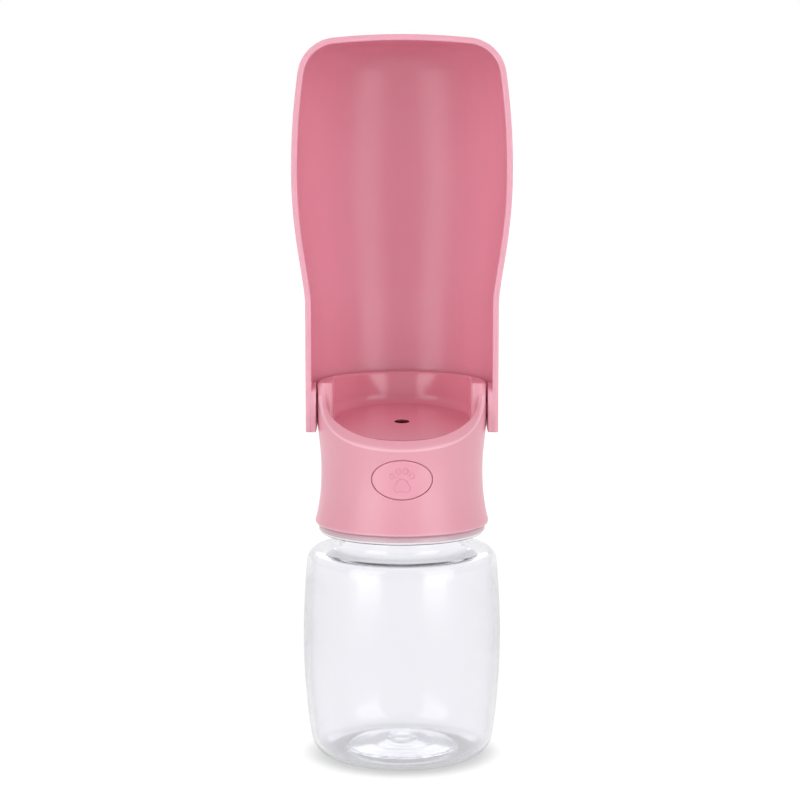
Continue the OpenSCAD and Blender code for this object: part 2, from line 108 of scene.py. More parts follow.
# Head. An EDGE is the radius of a rounded edge.
WAIST_R, RIM_R, WAIST_Z = 29.15, 30.5, 106.0
SKIRT_FLARE, SKIRT_POWER, RIM_BLEND = 2.4, 2.4, 19.5
RIM_EDGE, SKIRT_EDGE, FINE_EDGE = 1.2, 0.8, 0.4
BOWL_R, BOWL_Z, FLOOR_SLOPE, FLOOR_WALL = 27.8, 122.5, 0.122, 2.2
BOWL_EDGE, FLOOR_FILLET = 0.8, 3.0
BLOCK_X, BLOCK_FRONT, BLOCK_BACK, BLOCK_BACK_EASE = 24.7, -5.0, 12.0, 0.8
BLOCK_EDGE, BLOCK_FILLET = 1.6, 2.5
BLOCK_BEND_R, BLOCK_BEND = 28, 0.3
CAVITY_R, DECK_BORE_R, DECK_TOP = 26.7, 27.75, 97.25
OUTLET_R, OUTLET_Z, OUTLET_EDGE = 2.5, 110, 0.35
LIP_ARC, LIP_EDGE, LIP_OVERLAP = 45.0, 0.45, 1.5
LIP_INNER_R, LIP_INNER_CENTRE = 28.2, (-37.0, 163.6)
LIP_OUTER_R, LIP_OUTER_CENTRE = 30.4, (-41.3, 160.15)
LIP_SWELL, LIP_SWELL_Y, LIP_SWELL_WIDTH = 0.9, -18.5, 6.0
LEDGE_ROOT_R, LEDGE_R, LEDGE_EDGE = 29, 33.6, 0.6
LEDGE_Z, LEDGE_ANGLE = (116.6, 118.9), 40.0
WASHER_RECESS_R, WASHER_RECESS_X = 4.0, 29.6
HEAD_GRID = ((-35, -33, 85), (35, 35.2, 138.2), 0.36)
HEAD_KEEP = 0.4

# Button, an oval with the half axes A and B, and the sleeve round its opening
BUTTON_Z, BUTTON_A, BUTTON_B = 105.8, 10.6, 6.95
BUTTON_FACE_R, BUTTON_FACE_WALL, BUTTON_WALL = 29.3, 1.3, 1.2
BUTTON_REAR, BUTTON_EDGE = -23.1, 0.45
FLANGE_WIDTH, FLANGE_HALF = 1.1, 0.5
SLEEVE_WIDTH, SLEEVE_Y, SLEEVE_HALF, SLEEVE_SINK = 2.0, -25.6, 1.4, 0.5
OPENING_GAP, OPENING_BACK, OPENING_EDGE = 0.15, -20, 0.2
BUTTON_GRID = ((-12.5, -30, 98), (12.5, -22, 114), 0.16)
BUTTON_KEEP = 0.5

# Paw: each round spot's distance from the middle, height above the button's middle and radius
PAW_TOES = [(1.3, 3.2, 1.05), (3.5, 1.5, 0.95)]
PAW_PAD = [(1.4, -2.8, 1.5), (0.0, -1.7, 2.2)]
PAW_DEPTH, PAW_EDGE = 0.32, 0.1

# Trough
TROUGH_NECK_R, TROUGH_WALL, TROUGH_TIP_WALL = 34.55, 2.15, 2.2
TROUGH_BEND, TROUGH_TIP_BEND, TROUGH_CORNER = 250.0, 240.0, 14.2
TROUGH_NECK_S, TROUGH_WIDE_S, TROUGH_SWELL_POWER = 38.3, 84.0, 0.7
TROUGH_RIM_EDGE, TROUGH_FOOT_EDGE = 0.6, 0.5
EAR_X, EAR_R, EAR_BEVEL = (30.75, 33.2), 8.6, 0.45
EAR_FRONT_GAP, EAR_FOOT_GAP = 0.12, 0.02
PIN_HEAD_R, PIN_HEAD_X, PIN_HEAD_CUT = 3.55, 33.6, 3

# Springs
WIRE_R, WIRE_SIDES = 0.3, 10
COIL_TURNS, COIL_STEPS = 6, 24
BUTTON_TRAVEL, VALVE_TRAVEL = 3.0, 2.25

# Materials: noise scales in waves per metre, and the heights where the bottle's side turns dull and clear
COLOUR_SCALE, GLOSS_SCALE, SKIN_SCALE, STREAK_SCALE = 45, 160, 1600, 900
PLASTIC_IOR, CLEAR_IOR, CLEAR_EDGE_POWER = 1.5, 1.4, 5.5
DULL_START, DULL_END, DULL_GAIN = (25, 48), (66, 73), 1.9
SUBSURFACE_RADIUS, SUBSURFACE_SCALE = (1.0, 0.45, 0.4), 0.0012
# where the bowl's painted shade and its smoother finish begin, and the span over which the painted shade
# deepens to the back
BOWL_LOW_Z, BOWL_SHADE_Y = (117, 118), (-27, 6)

# Camera and lamps, in metres and degrees
LENS, CAMERA_PLACE, CAMERA_TILT = 108, (-0.0007, -0.8577, 0.2477), 82.2
LAMP_TARGET = Vector((0, 0, 0.13))


def smooth(t):
    return t * t * (3 - 2 * t)


def arc(centre, radius, start, end, steps):
    """Points of a circle arc between two angles in degrees."""
    angles = np.radians(np.linspace(start, end, steps + 1))
    return np.array(centre) + radius * np.stack([np.cos(angles), np.sin(angles)], 1)


# Signed distances: negative inside, joined with round edges


def round_and(a, b, radius):
    """The overlap of two solids, with the edge between them rounded."""
    u, v = np.maximum(a + radius, 0), np.maximum(b + radius, 0)
    return np.minimum(np.maximum(a, b), -radius) + np.hypot(u, v)


def cut(solid, hollow, radius):
    """A solid less a hollow, with the edge rounded."""
    return round_and(solid, -hollow, radius)


def oval(x, z, grow=0.0):
    """Distance from the button's oval, seen from the front."""
    a, b = BUTTON_A + grow, BUTTON_B + grow
    z = z - BUTTON_Z
    q = np.maximum(np.hypot(x / a, z / b), 1e-6)
    slope = np.maximum(np.hypot(x / a**2, z / b**2) / q, 1e-6)
    return (q - 1) / slope


def head_radius(z):
    """Outer radius of the head: a flared skirt, a waist and a slow swell to the rim."""
    skirt = SKIRT_FLARE * np.clip((WAIST_Z - z) / (WAIST_Z - HEAD_BASE), 0, 1) ** SKIRT_POWER
    swell = (RIM_R - WAIST_R) * smooth(np.clip((z - WAIST_Z) / RIM_BLEND, 0, 1))
    return WAIST_R + skirt + swell


def floor_z(y):
    """Height of the bowl's floor, which rises to the back."""
    return BOWL_Z + FLOOR_SLOPE * y


def lip_z(centre, y):
    """Height of one of the lip's edges at a place y in front of the hinge."""
    return centre[1] - np.sqrt(LIP_ARC**2 - (np.minimum(y, 0) - centre[0]) ** 2)


def lip_hollow(y, z, r):
    """The space over the slanted front lip, in front of the hinge blocks."""
    near = np.maximum(r, 1.0)
    y_in = np.minimum(y * LIP_INNER_R / near, 0)
    swell = LIP_SWELL * np.exp(-(((y_in - LIP_SWELL_Y) / LIP_SWELL_WIDTH) ** 2))
    z_in = lip_z(LIP_INNER_CENTRE, y_in) + swell
    z_out = np.minimum(z_in, lip_z(LIP_OUTER_CENTRE, y * LIP_OUTER_R / near))
    fall = (z_in - z_out) / (LIP_OUTER_R - LIP_INNER_R)
    z_lip = z_in - fall * np.maximum(r - LIP_INNER_R, 0)
    rise = (y_in - LIP_INNER_CENTRE[0]) / (LIP_INNER_CENTRE[1] - z_in)
    over = (z_lip - z) / np.sqrt(1 + rise**2 + fall**2)
    bend = np.maximum(r - BLOCK_BEND_R, 0)
    face = (y - BLOCK_FRONT - BLOCK_BEND * bend**2) / np.sqrt(1 + (2 * BLOCK_BEND * bend) ** 2)
    hollow = round_and(over, face, BLOCK_FILLET)
    return np.maximum(hollow, BOWL_R - LIP_OVERLAP - r)


def stop_ledge(x, y, z, r):
    """The ledge on the head's back that stops the open trough."""
    side = math.radians(LEDGE_ANGLE)
    shelf = np.abs(z - np.mean(LEDGE_Z)) - np.ptp(LEDGE_Z) / 2
    ledge = round_and(np.maximum(r - LEDGE_R, LEDGE_ROOT_R - r), shelf, FINE_EDGE)
    return round_and(ledge, x * math.cos(side) - y * math.sin(side), LEDGE_EDGE)


def bowl_space(x, y, z, r):
    """The bowl above its sloped floor, less the two hinge blocks."""
    block = round_and(BLOCK_X - x, BLOCK_FRONT - y, BLOCK_EDGE)
    block = round_and(block, y - BLOCK_BACK - BLOCK_BACK_EASE, FINE_EDGE)
    above = (floor_z(y) - z) / math.hypot(1, FLOOR_SLOPE)
    return cut(round_and(r - BOWL_R, above, FLOOR_FILLET), block, FINE_EDGE)


def head_field(p):
    """Distance from the head's surface at points in millimetres."""
    x, y, z = np.abs(p[:, 0]), p[:, 1], p[:, 2]
    r = np.hypot(x, y)
    solid = round_and(r - head_radius(z), z - HEAD_TOP, RIM_EDGE)
    solid = round_and(solid, HEAD_BASE - z, SKIRT_EDGE)
    solid = cut(solid, bowl_space(x, y, z, r), BOWL_EDGE)
    solid = cut(solid, lip_hollow(y, z, r), LIP_EDGE)
    solid = np.minimum(solid, stop_ledge(x, y, z, r))
    solid = np.maximum(solid, -np.maximum(r - CAVITY_R, z - floor_z(y) + FLOOR_WALL))
    sleeve = np.maximum(oval(x, z, SLEEVE_WIDTH), np.abs(y - SLEEVE_Y) - SLEEVE_HALF)
    solid = np.minimum(solid, np.maximum(sleeve, r - CAVITY_R - SLEEVE_SINK))
    solid = np.maximum(solid, -np.maximum(r - DECK_BORE_R, z - DECK_TOP))
    solid = cut(solid, np.maximum(r - OUTLET_R, OUTLET_Z - z), OUTLET_EDGE)
    solid = cut(solid, np.maximum(oval(x, z, OPENING_GAP), y - OPENING_BACK), OPENING_EDGE)
    recess = np.maximum(np.hypot(y, z - HINGE_Z) - WASHER_RECESS_R, WASHER_RECESS_X - x)
    return np.maximum(solid, -recess)


def paw(x, z):
    """Distance from a plain paw: four toes over a three-lobed pad."""
    x, z = np.abs(x), z - BUTTON_Z
    distances = [np.hypot(x - side, z - up) - size for side, up, size in PAW_TOES + PAW_PAD]
    return np.minimum.reduce(distances)


def button_field(p):
    """Distance from the button's cap, with its hollow back and the sunk paw."""
    x, y, z = p.T
    r = np.hypot(x, y)
    cap = round_and(oval(x, z), r - BUTTON_FACE_R, BUTTON_EDGE)
    cap = np.maximum(cap, y - BUTTON_REAR)
    flange = np.abs(y - BUTTON_REAR + FLANGE_HALF) - FLANGE_HALF
    flange = np.maximum(oval(x, z, FLANGE_WIDTH), flange)
    hollow = np.maximum(oval(x, z, -BUTTON_WALL), r - BUTTON_FACE_R + BUTTON_FACE_WALL)
    cap = np.maximum(np.minimum(cap, flange), -hollow)
    return cut(cap, np.maximum(paw(x, z), BUTTON_FACE_R - PAW_DEPTH - r), PAW_EDGE)


def slope_of(field, points, step=0.02):
    """Gradient of a field at points, by central differences."""
    columns = [field(points + step * axis) - field(points - step * axis) for axis in np.eye(3)]
    return np.stack(columns, 1) / (2 * step)


def settle(field, points, rounds=3, least_slope=0.05, longest_move=0.3):
    """Points moved along the slope onto the surface."""
    for _ in range(rounds):
        slope = slope_of(field, points)
        size = np.maximum((slope**2).sum(1), least_slope)
        move = field(points)[:, None] * slope / size[:, None]
        points = points - np.clip(move, -longest_move, longest_move)
    return points


def grid_values(field, axes, parts=16):
    """The field at every point of a grid, worked out in parts to save memory."""
    points = np.stack(np.meshgrid(*axes, indexing="ij"), -1).reshape(-1, 3)
    value = np.concatenate([field(part) for part in np.array_split(points, parts)])
    return value.reshape([len(a) for a in axes])


def edge_crossings(value, axis):
    """Which grid edges along an axis the surface crosses, which start inside, and how far along it is."""
    start = np.take(value, range(value.shape[axis] - 1), axis)
    end = np.take(value, range(1, value.shape[axis]), axis)
    crossed = (start < 0) != (end < 0)
    along = np.where(crossed, start / np.where(crossed, start - end, 1), 0)
    return crossed, start < 0, along


def cell_points(crossings, cells):
    """The number of each cell that the surface crosses, and the mean of its crossings in grid steps."""
    total, count = np.zeros((*cells, 3)), np.zeros(cells)
    for axis, (crossed, _, along) in enumerate(crossings):
        others = [a for a in range(3) if a != axis]
        for da in (0, 1):
            for db in (0, 1):
                pick = [slice(None)] * 3
                pick[others[0]] = slice(da, da + cells[others[0]])
                pick[others[1]] = slice(db, db + cells[others[1]])
                hit = crossed[tuple(pick)]
                count += hit
                total[..., axis] += along[tuple(pick)]
                total[..., others[0]] += hit * da
                total[..., others[1]] += hit * db
    used = count > 0
    index = np.full(cells, -1)
    index[used] = np.arange(used.sum())
    return index, np.argwhere(used) + total[used] / count[used][:, None]


def net_quads(index, crossed, inside, axis):
    """A quad round each crossed edge along an axis, from the four cells that share it."""
    cells = index.shape
    u, v = (axis + 1) % 3, (axis + 2) % 3
    i = np.argwhere(crossed)
    i = i[(i[:, u] > 0) & (i[:, v] > 0) & (i[:, u] < cells[u]) & (i[:, v] < cells[v])]
    corner = []
    for du, dv in ((1, 1), (0, 1), (0, 0), (1, 0)):
        c = i.copy()
        c[:, u] -= du
        c[:, v] -= dv
        corner.append(index[tuple(c.T)])
    quads = np.stack(corner, 1)
    flip = ~inside[tuple(i.T)]
    quads[flip] = quads[flip][:, ::-1]
    return quads


def surface_net(field, low, high, step):
    """Quads round a field's zero surface: one vertex in each grid cell that the surface crosses."""
    axes = [np.arange(a, b + step, step) for a, b in zip(low, high)]
    value = grid_values(field, axes)
    crossings = [edge_crossings(value, axis) for axis in range(3)]
    index, verts = cell_points(crossings, [n - 1 for n in value.shape])
    verts = verts * step + np.array([a[0] for a in axes])
    faces = [net_quads(index, *crossings[axis][:2], axis) for axis in range(3)]
    return settle(field, verts), np.concatenate(faces)


# Meshes


def show(item):
    """Adds an object to the scene."""
    bpy.context.scene.collection.objects.link(item)
    return item


def new_piece(name, verts, faces, material):
    """A smooth-shaded object from points in millimetres."""
    mesh = bpy.data.meshes.new(name)
    mesh.from_pydata((np.asarray(verts) * MM).tolist(), [], [list(map(int, f)) for f in faces])
    mesh.materials.append(material)
    mesh.shade_smooth()
    return show(bpy.data.objects.new(name, mesh))


def weld(piece, distance=0.002):
    """Merges points that meet and makes every face look outwards."""
    bm = bmesh.new()
    bm.from_mesh(piece.data)
    bmesh.ops.remove_doubles(bm, verts=bm.verts, dist=distance * MM)
    bmesh.ops.dissolve_degenerate(bm, edges=bm.edges, dist=distance * MM / 2)
    bmesh.ops.recalc_face_normals(bm, faces=bm.faces)
    bm.to_mesh(piece.data)
    bm.free()


def apply_modifiers(piece):
    """Replaces the piece's mesh by its mesh with the modifiers applied."""
    graph = bpy.context.evaluated_depsgraph_get()
    mesh = bpy.data.meshes.new_from_object(piece.evaluated_get(graph))
    piece.modifiers.clear()
    piece.data = mesh


def field_piece(name, field, grid, keep, material):
    """A piece from a distance field, thinned out and shaded by the field's own slope."""
    verts, faces = surface_net(field, *grid)
    piece = new_piece(name, verts, faces, material)
    thin = piece.modifiers.new("thin", "DECIMATE")
    thin.ratio = keep
    apply_modifiers(piece)
    points = np.empty(len(piece.data.vertices) * 3)
    piece.data.vertices.foreach_get("co", points)
    normals = slope_of(field, points.reshape(-1, 3) / MM)
    normals /= np.maximum(np.linalg.norm(normals, axis=1), 1e-6)[:, None]
    piece.data.shade_smooth()
    piece.data.normals_split_custom_set_from_vertices(normals.tolist())
    return piece


def grid_faces(rows, columns, closed=False):
    """Quads between rows of points, each row with the same number of columns."""
    faces = []
    for i in range(rows - 1):
        here, above = i * columns, (i + 1) * columns
        for k in range(columns if closed else columns - 1):
            after = (k + 1) % columns
            faces.append((here + k, here + after, above + after, above + k))
    return faces


def lathe(name, outline, material, turns=192):
    """A closed outline of radius and height, turned round the bottle's axis."""
    angles = np.linspace(0, 2 * math.pi, turns, endpoint=False)
    across, along = np.cos(angles), np.sin(angles)
    rows = [np.stack([r * across, r * along, np.full(turns, z)], 1) for r, z in np.array(outline)]
    rows.append(rows[0])
    faces = grid_faces(len(rows), turns, closed=True)
    piece = new_piece(name, np.concatenate(rows), faces, material)
    weld(piece)
    return piece


def prism(name, outline, x0, x1, material):
    """An outline in Y and Z drawn out along X."""
    n = len(outline)
    verts = [(x, y, z) for x in (x0, x1) for y, z in outline]
    faces = [tuple(range(n)), tuple(range(2 * n - 1, n - 1, -1))]
    faces += [(k, k + n, (k + 1) % n + n, (k + 1) % n) for k in range(n)]
    piece = new_piece(name, verts, faces, material)
    weld(piece)
    return piece


def round_edges(piece, width):
    """Rounds the sharp edges of a piece."""
    edge = piece.modifiers.new("edge", "BEVEL")
    edge.width = width * MM
    edge.segments = 3
    edge.limit_method = "ANGLE"
    edge.angle_limit = math.radians(40)
    edge.harden_normals = True
    apply_modifiers(piece)


def join(pieces):
    """Joins pieces into the first one."""
    first = pieces[0]
    chosen = {"active_object": first, "selected_editable_objects": pieces, "selected_objects": pieces}
    with bpy.context.temp_override(**chosen):
        bpy.ops.object.join()
    return first


# Trough


def tip_corner(wide, reach, corner):
    """Centres of three arcs: the corner's, which touches the other two, the side's and the tip's."""
    side = np.array([wide - TROUGH_BEND, TROUGH_WIDE_S])
    tip = np.array([0, reach - TROUGH_TIP_BEND])
    side_far, tip_far = TROUGH_BEND - corner, TROUGH_TIP_BEND - corner
    apart = tip - side
    gap = np.linalg.norm(apart)
    along = (side_far**2 - tip_far**2 + gap**2) / (2 * gap)
    across = math.sqrt(side_far**2 - along**2)
    u = apart / gap
    return side + along * u + across * np.array([-u[1], u[0]]), side, tip


def bearing(centre, point):
    """Direction from a centre to a point, in degrees."""
    across, up = point - centre
    return math.degrees(math.atan2(up, across))


def trough_side(wall, tip_wall):
    """Radius and height above the hinge, from the trough's lower edge to its tip."""
    neck, wide = TROUGH_NECK_R - wall, TROUGH_WIDE_R - wall
    reach, corner = TROUGH_REACH - tip_wall, TROUGH_CORNER - wall
    centre, side, tip = tip_corner(wide, reach, corner)
    side_end, tip_start = bearing(side, centre), bearing(tip, centre)
    t = np.linspace(0, 1, 33)[1:]
    swell = neck + (wide - neck) * (1 - np.cos(np.pi * t**TROUGH_SWELL_POWER)) / 2
    curve = np.stack([swell, TROUGH_NECK_S + (TROUGH_WIDE_S - TROUGH_NECK_S) * t], 1)
    straight = np.stack([np.full(17, neck), np.linspace(-EAR_DROP, TROUGH_NECK_S, 17)], 1)
    return np.concatenate([
        straight,
        curve,
        arc(side, TROUGH_BEND, 0, side_end, 16)[1:],
        arc(centre, corner, side_end, tip_start, 24)[1:],
        arc(tip, TROUGH_TIP_BEND, tip_start, 90, 14)[1:],
    ])


def band_loop(outer, inner, inset):
    """Half a section of the trough: round the back, along the ear, over the rim and back inside."""
    edge = TROUGH_RIM_EDGE
    across = (outer - inner) / np.linalg.norm(outer - inner)
    outer, inner = outer - across * inset, inner + across * inset
    front = -TROUGH_FRONT + inset
    turn = np.radians(np.linspace(90, 0, 41))
    bend = np.radians(np.linspace(0, 90, 6))
    strip = np.linspace(0, front + edge, 5)[1:-1]
    outer_rim = outer - across * edge + across * edge * np.cos(bend)[:, None]
    inner_rim = inner + across * edge - across * edge * np.sin(bend)[:, None]
    loop = [(outer[0] * math.cos(a), outer[0] * math.sin(a), outer[1]) for a in turn]
    loop += [(outer[0], y, outer[1]) for y in strip]
    loop += [(p[0], front + edge - edge * math.sin(a), p[1]) for p, a in zip(outer_rim, bend)]
    loop += [(p[0], front + edge - edge * math.cos(a), p[1]) for p, a in zip(inner_rim, bend)]
    loop += [(inner[0], y, inner[1]) for y in strip[::-1]]
    loop += [(inner[0] * math.cos(a), inner[0] * math.sin(a), inner[1]) for a in turn[::-1]]
    return np.array(loop)


def make_trough(material):
    """The trough's shell with its rounded rim, the two ear bosses and the pin seats."""
    outer, inner = trough_side(0, 0), trough_side(TROUGH_WALL, TROUGH_TIP_WALL)
    edge = TROUGH_FOOT_EDGE
    loops = []
    for a in np.radians(np.linspace(0, 90, 5)):
        lift = np.array([0, edge * (1 - math.cos(a))])
        loops.append(band_loop(outer[0] + lift, inner[0] + lift, edge * (1 - math.sin(a))))
    loops += [band_loop(o, i, 0) for o, i in zip(outer[1:], inner[1:])]
    count = len(loops[0])
    verts = np.concatenate(loops)
    verts[:, 2] += HINGE_Z
    faces = grid_faces(len(loops), count)
    half = count // 2
    faces += [(k, count - 1 - k, count - 2 - k, k + 1) for k in range(half - 1)]
    mirrored = verts * np.array([-1, 1, 1])
    faces += [tuple(len(verts) + v for v in f[::-1]) for f in faces]
    shell = new_piece("trough_shell", np.concatenate([verts, mirrored]), faces, material)
    weld(shell)
    sink_pin_seats(shell, material)
    pieces = [shell]
    for side in (-1, 1):
        ear = prism("ear", ear_outline(), side * EAR_X[0], side * EAR_X[1], material)
        round_edges(ear, EAR_BEVEL)
        pieces.append(ear)
    return join(pieces)


def sink_pin_seats(shell, material):
    """Cuts the round seats of the two pin heads into the outside of the trough."""
    turn = np.radians(np.linspace(0, 360, 64, endpoint=False))
    circle = [(PIN_HEAD_R * math.cos(a), HINGE_Z + PIN_HEAD_R * math.sin(a)) for a in turn]
    for side in (-1, 1):
        seat = prism("seat", circle, side * PIN_HEAD_X, side * (PIN_HEAD_X + PIN_HEAD_CUT), material)
        hole = shell.modifiers.new("hole", "BOOLEAN")
        hole.object = seat
        hole.solver = "EXACT"
        apply_modifiers(shell)
        bpy.data.objects.remove(seat)
    shell.data.set_sharp_from_angle(angle=math.radians(35))


def ear_outline():
    """Side view of an ear's boss: a round top over a square foot, cut off at the front."""
    front, low = EAR_FRONT_GAP - TROUGH_FRONT, HINGE_Z - EAR_DROP + EAR_FOOT_GAP
    start = math.degrees(math.acos(front / EAR_R))
    top = arc((0, HINGE_Z), EAR_R, start, 0, 36)
    return [(front, low)] + top.tolist() + [(EAR_R, low)]


# Bottle and collar


def barrel_r(z):
    """Outer radius of the bottle's bulging side."""
    return BOTTLE_R - (z - BELLY_Z) ** 2 / (FOOT_BEND if z < BELLY_Z else SHOULDER_BEND)


def bottle_side(wall):
    """The bottle's wall from the foot to under the neck, set in by the wall's thickness."""
    foot_lean = math.atan(2 * (BELLY_Z - FOOT_CORNER) / FOOT_BEND)
    foot_top = FOOT_CORNER * (1 - math.sin(foot_lean))
    foot_r = barrel_r(foot_top) - FOOT_CORNER * math.cos(foot_lean)
    lean = math.atan(2 * (SHOULDER_Z - BELLY_Z) / SHOULDER_BEND)
    top = SHOULDER_Z + SHOULDER_CORNER * math.sin(lean)
    shoulder_r = barrel_r(top) - SHOULDER_CORNER * math.cos(lean)
    return np.concatenate([
        arc((foot_r, FOOT_CORNER), FOOT_CORNER - wall, -90, -math.degrees(foot_lean), 16),
        [(barrel_r(z) - wall, z) for z in np.linspace(foot_top, top, 32)[1:-1]],
        arc((shoulder_r, SHOULDER_Z), SHOULDER_CORNER - wall, math.degrees(lean), 84, 14),
        arc(NECK_ROOT, NECK_ROOT_CORNER + wall, 264, 180, 12),
    ])


def soften(points, radius, steps=4):
    """An open outline with each corner rounded."""
    points = np.array(points, float)
    out = [points[:1]]
    for a, b, c in zip(points, points[1:], points[2:]):
        before, after = a - b, c - b
        room = 0.45 * min(np.linalg.norm(before), np.linalg.norm(after))
        before, after = before / np.linalg.norm(before), after / np.linalg.norm(after)
        turn = math.acos(np.clip(-before @ after, -1, 1))
        back = min(radius * math.tan(turn / 2), room)
        t = np.linspace(0, 1, steps + 1)[:, None]
        start, end = b + before * back, b + after * back
        out.append((1 - t) ** 2 * start + 2 * t * (1 - t) * b + t**2 * end)
    return np.concatenate(out + [points[-1:]])


def bottle_outline():
    """The bottle's whole section: the raised base, the wall, the neck and back down inside."""
    outer, inner = bottle_side(0), bottle_side(BOTTLE_WALL)
    base = soften(BASE_OUTSIDE + [outer[0]], BASE_EDGE)
    mouth = [(NECK_R, NECK_TOP), (NECK_R - NECK_WALL, NECK_TOP)]
    neck = soften([outer[-1]] + mouth + [inner[-1]], NECK_EDGE)
    well = soften([inner[0]] + BASE_INSIDE, BASE_EDGE)
    return np.concatenate([base[:-1], outer, neck[1:-1], inner[::-1], well[1:]])


def collar_outline():
    """Section of the milky collar: a flange with a round lower edge under the wall that holds the lugs."""
    low, high = collar_low[2], collar_high[2]
    flange = HEAD_BASE - COLLAR_GAP
    outline = [(COLLAR_WALL_IN, high), (COLLAR_WALL_IN, low)]
    outline += arc((COLLAR_R - COLLAR_EDGE, low + COLLAR_EDGE), COLLAR_EDGE, -90, 0, 8).tolist()
    return outline + [(COLLAR_R, flange), (COLLAR_WALL_OUT, flange), (COLLAR_WALL_OUT, high)]


def make_coil(name, node, axis, material):
    """A coil spring in the place of a CAD spring, wound along axis 1 (Y) or 2 (Z)."""
    low, high = node_box(node)
    centre, half = (low + high) / 2, (high - low) / 2
    across = 3 - axis
    radius, length = half[0] - WIRE_R, 2 * (half[axis] - WIRE_R)
    steps, sides = COIL_TURNS * COIL_STEPS, WIRE_SIDES
    turn = np.radians(np.linspace(0, 360, sides, endpoint=False))
    verts = np.zeros((steps + 1, sides, 3))
    for i, row in enumerate(verts):
        a = 2 * math.pi * COIL_TURNS * i / steps
        out = radius + WIRE_R * np.cos(turn)
        row[:, 0] = out * math.cos(a)
        row[:, across] = out * math.sin(a)
        row[:, axis] = WIRE_R * np.sin(turn) + length * (i / steps - 0.5)
    faces = grid_faces(steps + 1, sides, closed=True)
    faces += [tuple(range(sides)), tuple(range(steps * sides, (steps + 1) * sides))]
    piece = new_piece(name, verts.reshape(-1, 3) + centre, faces, material)
    weld(piece)
    return piece


# Materials


def new_material(name):
    """A material with its nodes and links."""
    material = bpy.data.materials.new(name)
    material.use_nodes = True
    return material, material.node_tree.nodes, material.node_tree.links


def srgb(colour):
    """Linear colour with alpha from sRGB numbers of 0 to 255."""
    values = [c / 255 for c in colour]
    return [v / 12.92 if v <= 0.04045 else ((v + 0.055) / 1.055) ** 2.4 for v in values] + [1.0]


def feed(links, socket, value):
    """Links a socket to another one, or sets it to a number or a colour."""
    if isinstance(value, bpy.types.NodeSocket):
        links.new(value, socket)
    else:
        socket.default_value = value


def calc(nodes, links, operation, *values):
    """A Math node that works on sockets and numbers."""
    node = nodes.new("ShaderNodeMath")
    node.operation = operation
    for socket, value in zip(node.inputs, values):
        feed(links, socket, value)
    return node.outputs["Value"]


def product(nodes, links, first, *others):
    """The product of several sockets."""
    for other in others:
        first = calc(nodes, links, "MULTIPLY", first, other)
    return first


def remap(nodes, links, value, source, target, interpolation="LINEAR"):
    """A value that runs over the target's range as another runs over the source's range."""
    spread = nodes.new("ShaderNodeMapRange")
    spread.interpolation_type = interpolation
    ends = zip(("From Min", "From Max", "To Min", "To Max"), (*source, *target))
    for name, number in ends:
        spread.inputs[name].default_value = number
    links.new(value, spread.inputs["Value"])
    return spread.outputs["Result"]


def fade(nodes, links, value, start, end, low, high):
    """A value that runs smoothly from low to high as another runs from start to end."""
    return remap(nodes, links, value, (start, end), (low, high), "SMOOTHSTEP")


def fade_mm(nodes, links, value, start, end, low=1, high=0):
    """A fade whose start and end are in millimetres, from 1 to 0 unless stated."""
    return fade(nodes, links, value, start * MM, end * MM, low, high)


def blend_values(nodes, links, cloud, low, high):
    """A value from low to high over the middle of a noise's range."""
    return remap(nodes, links, cloud, (0.3, 0.7), (low, high))


def mix(nodes, links, factor, first, second, kind="FLOAT"):
    """Runs from the first value to the second as the factor runs from 0 to 1."""
    node = nodes.new("ShaderNodeMix")
    node.data_type = kind
    links.new(factor, node.inputs["Factor"])
    feed(links, node.inputs["A"], first)
    feed(links, node.inputs["B"], second)
    return node.outputs["Result"]


def mix_shaders(nodes, links, factor, first, second):
    """Runs from the first shader to the second as the factor runs from 0 to 1."""
    node = nodes.new("ShaderNodeMixShader")
    links.new(factor, node.inputs["Fac"])
    links.new(first, node.inputs[1])
    links.new(second, node.inputs[2])
    return node.outputs["Shader"]


def noise(nodes, links, scale, detail=3.0):
    """Noise over the object's own coordinates, in metres."""
    place = nodes.new("ShaderNodeTexCoord")
    texture = nodes.new("ShaderNodeTexNoise")
    texture.inputs["Scale"].default_value = scale
    texture.inputs["Detail"].default_value = detail
    links.new(place.outputs["Object"], texture.inputs["Vector"])
    return texture.outputs["Fac"]


def bump(nodes, links, height, shader, distance, strength):
    """Small relief in a shader's surface, with its distance in millimetres."""
    node = nodes.new("ShaderNodeBump")
    node.inputs["Distance"].default_value = distance * MM
    node.inputs["Strength"].default_value = strength
    links.new(height, node.inputs["Height"])
    links.new(node.outputs["Normal"], shader.inputs["Normal"])


def length_of(nodes, links, vector):
    """The length of a vector."""
    node = nodes.new("ShaderNodeVectorMath")
    node.operation = "LENGTH"
    links.new(vector, node.inputs[0])
    return node.outputs["Value"]


def places(nodes, links):
    """Object coordinates: X without its sign, Y, Z and the distance from the bottle's axis."""
    place = nodes.new("ShaderNodeTexCoord")
    split = nodes.new("ShaderNodeSeparateXYZ")
    links.new(place.outputs["Object"], split.inputs["Vector"])
    side = calc(nodes, links, "ABSOLUTE", split.outputs["X"])
    flat = nodes.new("ShaderNodeCombineXYZ")
    links.new(split.outputs["X"], flat.inputs["X"])
    links.new(split.outputs["Y"], flat.inputs["Y"])
    out = length_of(nodes, links, flat.outputs["Vector"])
    return side, split.outputs["Y"], split.outputs["Z"], out


def recolour(material, mask, colour):
    """Changes a material's colour where a mask is 1."""
    nodes, links = material.node_tree.nodes, material.node_tree.links
    base = nodes["Principled BSDF"].inputs["Base Color"]
    before = base.links[0].from_socket
    links.new(mix(nodes, links, mask, before, srgb(colour), "RGBA"), base)


